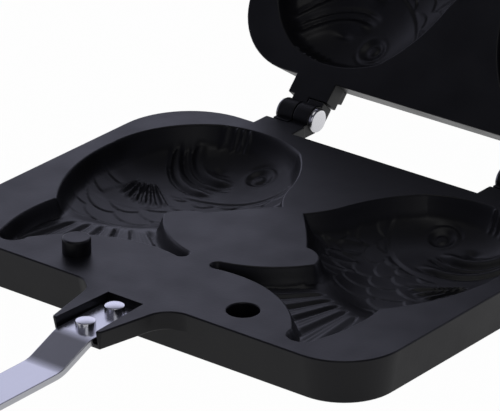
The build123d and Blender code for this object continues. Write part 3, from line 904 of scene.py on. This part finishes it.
for loop in strap.data.loops:
    x, y, z = strap.data.vertices[loop.vertex_index].co
    grain.data[loop.index].uv = (x + 0.3 * z, y)
for_both(strap, "strap", "bare_steel")
print("strap box, mm:", [round(d * 1000, 1) for d in strap.dimensions])

# %% [markdown]
# ## Rivets
# The strap's rivets have a high head with a straight side and a faint dome, and a flat set head
# below. A dome is a few rings whose radius follows a circle, so a list of rings is all that the
# lathe helper needs.

# %% Strap rivets
SET_HEAD_R, SHANK_R, HEAD_R = 3.9, 2.5, 3.65


def dome(radius, low, high, steps=7):
    """Rings of a round cap from its foot to its top."""
    height = high - low
    ball = (radius * radius + height * height) / (2 * height)
    reach = atan2(radius, ball - height)
    return [(max(ball * sin(reach * (1 - k / steps)), 0.05),
             high - ball * (1 - cos(reach * (1 - k / steps)))) for k in range(steps + 1)]


rivet_profile = [
    (3.1, LUG_LOW_Z - 1.3), (3.5, LUG_LOW_Z - 1.15), (SET_HEAD_R, LUG_LOW_Z - 0.4),
    (SET_HEAD_R, LUG_LOW_Z), (SHANK_R, LUG_LOW_Z), (SHANK_R, strap_z), (HEAD_R, strap_z),
    (HEAD_R, strap_z + 2.4), (3.55, strap_z + 2.62)] + dome(3.4, strap_z + 2.7, strap_z + 3.0)
for node, y in (("front_rivet", 24.5), ("rear_rivet", 9.0)):
    rivet = placed(turned("lower_" + node + "_head", rivet_profile), 0, FRONT_Y - y)
    for_both(shaded(rivet, 32), node, "polished_heads")
print("rings of a strap rivet:", len(rivet_profile))

# %% [markdown]
# ## Hinge pins and washers
# Each hinge turns on a pin with a bright domed head on the right and a small peened end on a
# washer on the left. They are turned upright, then laid along the hinge axis.

# %% Hinge pins and washers
WASHER_R, WASHER_THICK, PEENED_R, PIN_HEAD_R = 4.8, 0.8, 3.4, 4.8
head_x = PAIR_WIDTH / 2
tail_x = -head_x - WASHER_THICK
pin_profile = [
    (1.7, tail_x - 1.2), (2.0, tail_x - 1.1), (PEENED_R, tail_x - 0.1), (PEENED_R, tail_x),
    (PIN_R, tail_x), (PIN_R, head_x), (4.65, head_x), (PIN_HEAD_R, head_x + 0.15),
    (PIN_HEAD_R, head_x + 0.7), (4.65, head_x + 1.15), (4.4, head_x + 1.45)]
pin_profile += dome(4.1, head_x + 1.6, head_x + 1.8)
washer_middle = (0, 0, tail_x + WASHER_THICK / 2)
for name, side in (("left", -1), ("right", 1)):
    lay = (Matrix.Translation(metres(side * PAIR_X, HINGE_Y, HINGE_Z))
           @ Matrix.Rotation(pi / 2, 4, "Y"))
    pin = turned(name + "_pin", pin_profile)
    washer = drum(name + "_washer", washer_middle, WASHER_R, WASHER_THICK, "Z", 0.15)
    joined(washer, drum("washer_bore", washer_middle, BORE_R, 4.0, "Z"), "DIFFERENCE")
    for piece, node in ((pin, "_hinge_pin"), (washer, "_hinge_washer")):
        piece.data.transform(lay)
        carry(shaded(piece, 32), "base", name + node, "polished_heads")
print("rings of a hinge pin:", len(pin_profile))

# %% [markdown]
# ## The grips
# Each grip is two moulded halves on the strap, held by two rivets. The whole bar is shaped
# first: a box whose near end is narrowed, with wide roundings outside, where the palm lies, and
# narrow ones inside, where the two grips meet. Bevel weights give each edge its own radius in
# one Bevel modifier. Then it is split along the seam, and each half gets its fine seam edge.

# %% Grip bar
GRIP_WIDE, GRIP_NARROW, WIDEST_ROUND = 24.0, 21.0, 8.0
near_y, taper_y, far_y = FRONT_Y - 92.0, FRONT_Y - 168.5, FRONT_Y - 205.0
GRIP_HIGH_Z, GRIP_LOW_Z = PLATE_HEIGHT - 0.6, PLATE_HEIGHT - 16.8
SEAM_Z = strap_z - DROP - STRAP_THICK


def weigh(radius, test=lambda x, y, z: True, **at):
    """Gives edges a bevel weight; the widest rounding has 1."""
    pick("EDGE", test, **at)
    bpy.ops.transform.edge_bevelweight(value=radius / WIDEST_ROUND)


def grip_bar():
    """The whole grip before it is split."""
    middle_z = (GRIP_LOW_Z + GRIP_HIGH_Z) / 2
    bar = block("grip_bar", (-GRIP_WIDE / 2, far_y, GRIP_LOW_Z),
                (GRIP_WIDE / 2, near_y, GRIP_HIGH_Z))
    edit(bar)
    select_all()
    bpy.ops.mesh.bisect(plane_co=metres(0, taper_y, 0), plane_no=(0, 1, 0))
    pick("VERT", y=near_y)
    stretch(GRIP_NARROW / GRIP_WIDE, 1, 1)
    weigh(6, lambda x, y, z: abs(x) > 9 and not near(y, taper_y), z=GRIP_LOW_Z)
    weigh(1.5, lambda x, y, z: not near(y, taper_y), z=GRIP_HIGH_Z)
    weigh(6, z=GRIP_LOW_Z, y=near_y)
    weigh(WIDEST_ROUND, z=GRIP_LOW_Z, y=far_y)
    weigh(4, lambda x, y, z: abs(x) > 9, y=near_y, z=middle_z)
    weigh(2.5, lambda x, y, z: abs(x) > 9, y=far_y, z=middle_z)
    bpy.ops.object.mode_set(mode="OBJECT")
    return modified(bar, "BEVEL", width=WIDEST_ROUND / 1000, segments=8, limit_method="WEIGHT")


# %% [markdown]
# Each half is the bar cut by a plane, with one side cleared and the cut filled. The sunk seats
# of the rivet heads are drilled last, so that they cut through the roundings as a drill does.

# %% Grip halves
RIVET_YS = (FRONT_Y - 112.0, FRONT_Y - 176.0)
SEAT_R, GRIP_HEAD_R, GRIP_SHANK_R = 4.15, 4.0, 2.0
PIVOT_Y, PIVOT_Z = FRONT_Y - 196.0, PLATE_HEIGHT - 6.5


def grip_half(name, inner):
    """The inner or the outer half of a grip."""
    half = grip_bar()
    half.name = half.data.name = name
    edit(half)
    select_all()
    bpy.ops.mesh.bisect(plane_co=metres(0, 0, SEAM_Z), plane_no=(0, 0, 1), use_fill=True,
                        clear_inner=inner, clear_outer=not inner)
    pick("FACE", z=SEAM_Z)
    bevel(0.35, 2)
    close_edit()
    seat_z = GRIP_HIGH_Z if inner else GRIP_LOW_Z
    for y in RIVET_YS:
        joined(half, drum("rivet_seat", (0, y, seat_z), SEAT_R, 4.0, "Z"), "DIFFERENCE")
    return half


for_both(shaded(grip_half("lower_outer_half", False)), "outer_grip", "moulded_grip")

# %% [markdown]
# The lower grip carries the ring that holds the shut grips together, so its inner half has two
# small nibs that the ring rests on. The lid's half is plain.

# %% Inner halves
NIB_LOW_Y, NIB_LOW_Z, NIB_HIGH_Y, NIB_HIGH_Z = -5.7, -4.3, -3.2, -2.1
NIB_ROOT_X, NIB_TIP_X = GRIP_WIDE / 2 - 2.2, GRIP_WIDE / 2 + 2.9
WIRE_R, RING_BORE_END_X = 2.0, 4.5
ring_bore_x = (RING_BORE_END_X + GRIP_WIDE / 2) / 2
ring_bore_length = GRIP_WIDE / 2 - RING_BORE_END_X
plain_half = grip_half("lid_inner_half", True)
plain_half.data.transform(hinge_turn(-OPEN_ANGLE) @ turn_over)
carry(shaded(plain_half), "lid", "lid_inner_grip", "moulded_grip")
inner_half = grip_half("lower_inner_half", True)
for side in (-1, 1):
    low_x, high_x = sorted((side * NIB_ROOT_X, side * NIB_TIP_X))
    joined(inner_half, block("ring_nib", (low_x, PIVOT_Y + NIB_LOW_Y, PIVOT_Z + NIB_LOW_Z),
                             (high_x, PIVOT_Y + NIB_HIGH_Y, PIVOT_Z + NIB_HIGH_Z), 0.35))
    joined(inner_half, drum("ring_bore", (side * ring_bore_x, PIVOT_Y, PIVOT_Z), WIRE_R + PLAY,
                            ring_bore_length, "X", sides=40), "DIFFERENCE")
carry(shaded(inner_half), "base", "lower_inner_grip", "moulded_grip")
print("inner half, mm:", [round(d * 1000, 1) for d in inner_half.dimensions])

# %% [markdown]
# The grip rivets are aluminium, with flat turned heads and a small centre mark. Both ends are
# the same, so one half of the profile is read backwards for the other.

# %% Grip rivets
half_profile = [(1.0, 0.35), (1.3, 0.0), (3.75, 0.0), (GRIP_HEAD_R, 0.25), (GRIP_HEAD_R, 2.0),
                (GRIP_SHANK_R, 2.0)]
grip_rivet_profile = ([(radius, GRIP_LOW_Z + depth) for radius, depth in half_profile]
                      + [(radius, GRIP_HIGH_Z - depth) for radius, depth in half_profile[::-1]])
for node, y in (("front_grip_rivet", RIVET_YS[1]), ("rear_grip_rivet", RIVET_YS[0])):
    rivet = placed(turned("lower_" + node + "_body", grip_rivet_profile, 40), 0, y)
    for_both(shaded(rivet, 32), node, "grip_rivets")
print("pieces so far:", len(dressed))

# %% [markdown]
# ## The ring
# A 4 mm wire bent to a loop, whose two ends turn in the lower grip. The wire is a filled circle
# that is pulled along its path: extruded on the straights, and in the bends extruded and turned
# a little at a time about the centre of the bend.

# %% Latch ring
WIRE_END_X, LEG_X, LEG_R, CORNER_R, LATCH_REACH = 5.0, 14.7, 2.6, 6.0, 27.5
BEND_STEPS = 9
ring = disc("ring_wire", (WIRE_END_X, PIVOT_Y, PIVOT_Z), WIRE_R, 24, (0, pi / 2, 0))
edit(ring)
select_all()
tip, leg = LEG_X - LEG_R - WIRE_END_X, LATCH_REACH - LEG_R - CORNER_R
corner_x, corner_y = LEG_X - CORNER_R, PIVOT_Y - LATCH_REACH + CORNER_R
for step_x, step_y, centre_x, centre_y in ((tip, 0, LEG_X - LEG_R, PIVOT_Y - LEG_R),
                                           (0, -leg, corner_x, corner_y),
                                           (-2 * corner_x, 0, -corner_x, corner_y),
                                           (0, leg, LEG_R - LEG_X, PIVOT_Y - LEG_R)):
    extrude(step_x, step_y, 0)
    for _ in range(BEND_STEPS):
        extrude(0, 0, 0)
        bpy.ops.transform.rotate(value=pi / 2 / BEND_STEPS, orient_axis="Z",
                                 center_override=metres(centre_x, centre_y, PIVOT_Z))
extrude(tip, 0, 0)
close_edit()
carry(shaded(ring), "latch", "latch_ring", "wire")
print("ring box, mm:", [round(d * 1000, 1) for d in ring.dimensions])

# %% [markdown]
# ## Finishes
# Each finish starts from the real one. Colours are hex values as picked on a screen, and one
# function turns them to the linear numbers that the shader counts with. Another adds a node
# with its settings and links. A link takes the first socket of the node before it, unless
# another one is named.

# %% Colour and node helpers
def linear(hex_colour):
    """An sRGB hex colour as linear red, green, blue and alpha."""
    channels = [int(hex_colour[k:k + 2], 16) / 255 for k in (1, 3, 5)]
    return tuple(c / 12.92 if c <= 0.04045 else ((c + 0.055) / 1.055) ** 2.4
                 for c in channels) + (1.0,)


def add(tree, kind, settings=None, links=None):
    """Adds a node, or takes one that is there, sets its sockets and links into it."""
    node = tree.nodes.new("ShaderNode" + kind) if isinstance(kind, str) else kind
    for name, value in (settings or {}).items():
        if isinstance(name, int) or name in node.inputs:
            node.inputs[name].default_value = value
        else:
            setattr(node, name, value)
    for name, source in (links or {}).items():
        if isinstance(source, bpy.types.Node):
            source = source.outputs[0]
        tree.links.new(source, node.inputs[name])
    return node


def new_finish(name):
    """An empty material, with its node tree and its Principled shader."""
    material = bpy.data.materials.new(name)
    material.use_nodes = True
    return material, material.node_tree, material.node_tree.nodes["Principled BSDF"]


# %% [markdown]
# The casting is sprayed with a dark fluoropolymer coating and baked. The eye gets a deep grey,
# a satin gloss, and the fine unevenness of a sprayed film (about 1 mm, drawn a little coarse so
# that it shows), over the slow waves of sand-cast metal (about 15 mm). Where the film is thin it
# is a touch duller, so roughness follows a slow noise. Fluoropolymer has an IOR of 1.38.

# %% Non-stick coating
coating, tree, shader = new_finish("nonstick_fluoropolymer_on_cast_aluminium")
place = add(tree, "TexCoord").outputs["Object"]
waves = add(tree, "TexNoise", {"Scale": 1 / 0.015, "Detail": 3.0}, {"Vector": place})
peel = add(tree, "TexNoise", {"Scale": 1 / 0.0011, "Detail": 2.0, "Roughness": 0.55},
           {"Vector": place})
tone = add(tree, "ValToRGB", links={"Fac": waves})
for stop, where, colour in zip(tone.color_ramp.elements, (0.3, 0.7), ("#0d0d11", "#131317")):
    stop.position, stop.color = where, linear(colour)
gloss = add(tree, "MapRange", {"From Min": 0.3, "From Max": 0.7, "To Min": 0.37,
                               "To Max": 0.45}, {"Value": waves})
slow = add(tree, "Bump", {"Strength": 0.25, "Distance": 0.00025}, {"Height": waves})
fine = add(tree, "Bump", {"Strength": 0.30, "Distance": 0.00008},
           {"Height": peel, "Normal": slow})
add(tree, shader, {"IOR": 1.38}, {"Base Color": tone, "Roughness": gloss, "Normal": fine})

# %% [markdown]
# The strap is cold-rolled stainless steel, brushed along its length. The lines are some tenths
# of a millimetre apart and many millimetres long, so a noise is squeezed across the strap. It
# reads the strap's own map, so that the lid's strap has its lines along its length too.

# %% Brushed stainless steel
steel, tree, shader = new_finish("brushed_stainless_steel")
along = add(tree, "UVMap", {"uv_map": "grain"})
squeeze = add(tree, "Mapping", {"Scale": (1 / 0.00035, 1 / 0.02, 1)}, {"Vector": along})
lines = add(tree, "TexNoise", {"Scale": 1.0, "Detail": 3.0}, {"Vector": squeeze})
gloss = add(tree, "MapRange", {"To Min": 0.20, "To Max": 0.28}, {"Value": lines})
dents = add(tree, "Bump", {"Strength": 0.06, "Distance": 0.00004}, {"Height": lines})
add(tree, shader, {"Base Color": linear("#d2d3d8"), "Metallic": 1.0},
    {"Roughness": gloss, "Normal": dents})

# %% [markdown]
# Rivets and pins are steel, tumbled bright: nearly a mirror, with faint pits of half a
# millimetre. The ring is wire plated with nickel and chrome, smoother and a little bluer. The
# grip rivets are turned aluminium, whiter and duller than steel. All three are the same three
# nodes with their own numbers: colour, size of the haze in metres, least and most roughness,
# and depth of the pits.

# %% Bright metals
finishes = {"coated_casting": coating, "bare_steel": steel}
METALS = [
    ("polished_heads", "tumbled_bright_steel", "#dcdce0", 0.0006, 0.12, 0.24, 0.08),
    ("wire", "bright_plated_wire", "#d5d7dc", 0.004, 0.08, 0.18, 0),
    ("grip_rivets", "turned_aluminium_rivets", "#d9d9da", 0.0005, 0.28, 0.42, 0),
]
for slot_name, metal, colour, haze_size, least, most, pits in METALS:
    finishes[slot_name], tree, shader = new_finish(metal)
    place = add(tree, "TexCoord").outputs["Object"]
    haze = add(tree, "TexNoise", {"Scale": 1 / haze_size, "Detail": 2.0}, {"Vector": place})
    gloss = add(tree, "MapRange", {"To Min": least, "To Max": most}, {"Value": haze})
    add(tree, shader, {"Base Color": linear(colour), "Metallic": 1.0}, {"Roughness": gloss})
    if pits:
        dents = add(tree, "Bump", {"Strength": pits, "Distance": 0.00004}, {"Height": haze})
        add(tree, shader, links={"Normal": dents})

# %% [markdown]
# The grips are phenolic moulded black, a hard heat-proof plastic with the faint grain of a
# blasted mould (0.6 mm) and an IOR of 1.6.

# %% Phenolic
finishes["moulded_grip"], tree, shader = new_finish("moulded_black_phenolic")
place = add(tree, "TexCoord").outputs["Object"]
blast = add(tree, "TexNoise", {"Scale": 1 / 0.0006, "Detail": 2.0}, {"Vector": place})
flow = add(tree, "TexNoise", {"Scale": 1 / 0.02, "Detail": 3.0}, {"Vector": place})
tone = add(tree, "ValToRGB", links={"Fac": flow})
for stop, where, colour in zip(tone.color_ramp.elements, (0.3, 0.7), ("#141415", "#1b1b1c")):
    stop.position, stop.color = where, linear(colour)
gloss = add(tree, "MapRange", {"To Min": 0.36, "To Max": 0.50}, {"Value": flow})
dents = add(tree, "Bump", {"Strength": 0.25, "Distance": 0.00006}, {"Height": blast})
add(tree, shader, {"IOR": 1.6}, {"Base Color": tone, "Roughness": gloss, "Normal": dents})

# %% Give each piece its finish
for piece, slot_name in dressed:
    piece.data.materials.clear()
    piece.data.materials.append(finishes[slot_name])
print("dressed pieces:", len(dressed))

# %% [markdown]
# ## Studio
# The pan stands on a white floor that fades into a white room. What the camera sees of the floor
# is lifted nearly to white with Light Path, and the rest of it still takes the shadow. The room
# has a bright, slightly blue sweep behind the pan on the left and is dim overhead and on the
# camera's side. The coating mirrors the sweep at a grazing angle, which gives the flat face its
# sheen that fades to the right, and leaves the walls that face the camera dark. The floor behind
# the pan belongs to the sweep, so it is brighter in reflections than the floor in front.

# %% Floor
WHITE = (1, 1, 1, 1)
floor = disc("studio_floor", (0, 0, -0.2), 6000, 64)
floor_paint, tree, shader = new_finish("matt_white_floor")
add(tree, shader, {"Base Color": linear("#f4f4f4"), "Roughness": 0.9})
path = add(tree, "LightPath").outputs
place = add(tree, "TexCoord").outputs["Object"]
across = add(tree, "SeparateXYZ", links={"Vector": place})
sweep = add(tree, "MapRange", {"From Min": 0.0, "From Max": 0.2, "To Min": 0.45,
                               "To Max": 1.0}, {"Value": across.outputs["Y"]})
mirrored_share = add(tree, "Math", {"operation": "MULTIPLY"},
                     {0: path["Is Glossy Ray"], 1: sweep})
through_share = add(tree, "Math", {"operation": "MULTIPLY_ADD", 1: 0.5},
                    {0: path["Is Transmission Ray"], 2: mirrored_share})
lift = add(tree, "Emission", {"Color": WHITE, "Strength": 1.0})
share = add(tree, "Math", {"operation": "MULTIPLY_ADD", 1: 0.985},
            {0: path["Is Camera Ray"], 2: through_share})
blend = add(tree, "MixShader", links={0: share, 1: shader, 2: lift})
add(tree, tree.nodes["Material Output"], links={"Surface": blend})
floor.data.materials.append(floor_paint)

# %% Room light
world = bpy.data.worlds.new("studio_room")
bpy.context.scene.world = world
world.use_nodes = True
tree = world.node_tree
tree.nodes.clear()
direction = add(tree, "TexCoord").outputs["Generated"]
parts = add(tree, "SeparateXYZ", links={"Vector": direction})
height = add(tree, "ValToRGB", links={"Fac": parts.outputs["Z"]})
for stop, where, colour in zip(height.color_ramp.elements, (0.42, 0.80),
                               ((0.77, 0.78, 1.0, 1), (0.10, 0.10, 0.12, 1))):
    stop.position, stop.color = where, colour
height.color_ramp.interpolation = "EASE"
facing = add(tree, "VectorMath", {"operation": "DOT_PRODUCT", 1: (-0.626, 0.780, 0)},
             {0: direction})
side = add(tree, "MapRange", {"From Min": -0.05, "From Max": 0.65, "To Min": 0.15,
                              "To Max": 1.0}, {"Value": facing.outputs["Value"]})
room = add(tree, "VectorMath", {"operation": "SCALE"}, {0: height, "Scale": side})
path = add(tree, "LightPath").outputs
ambient = add(tree, "Background", {"Strength": 0.8}, {"Color": room})
shine = add(tree, "Background", {"Strength": 1.1}, {"Color": room})
white = add(tree, "Background", {"Color": WHITE, "Strength": 1.0})
mirror_rays = add(tree, "Math", {"operation": "MAXIMUM"},
                  {0: path["Is Glossy Ray"], 1: path["Is Transmission Ray"]})
first = add(tree, "MixShader", links={0: mirror_rays, 1: ambient, 2: shine})
second = add(tree, "MixShader", links={0: path["Is Camera Ray"], 1: first, 2: white})
add(tree, "OutputWorld", links={"Surface": second})

# %% Lamps
def soft_lamp(name, place, size, power):
    """A square area lamp that points at the pan; sizes in metres."""
    lamp = bpy.data.lights.new(name, "AREA")
    lamp.size, lamp.energy = size, power
    thing = linked(name, lamp)
    thing.location = place
    thing.rotation_euler = (PAN_MIDDLE - thing.location).to_track_quat("-Z", "Y").to_euler()


PAN_MIDDLE = Vector((0, 0, 0.02))
soft_lamp("key_lamp", (0.1, -0.2, 1.5), 0.9, 2.0)
soft_lamp("fill_lamp", (1.1, -1.0, 0.6), 0.8, 1.2)

# %% [markdown]
# ## Camera
# The photograph was taken from the front right with a long lens. The camera's place was worked
# out from the plate's straight edges and its four corners.

# %% Camera
AZIMUTH, DOWN, ROLL = radians(128.794), radians(24.475), radians(-0.08)
lens = bpy.data.cameras.new("camera")
lens.sensor_width, lens.lens = 36.0, 317.1
camera = linked("camera", lens)
camera.location = (0.90811, -1.13635, 0.68819)
ahead = Vector((cos(AZIMUTH) * cos(DOWN), sin(AZIMUTH) * cos(DOWN), -sin(DOWN)))
camera.rotation_euler = (ahead.to_track_quat("-Z", "Y").to_matrix()
                         @ Matrix.Rotation(ROLL, 3, "Z")).to_euler()
bpy.context.scene.camera = camera
bpy.context.scene.view_settings.view_transform = "Standard"
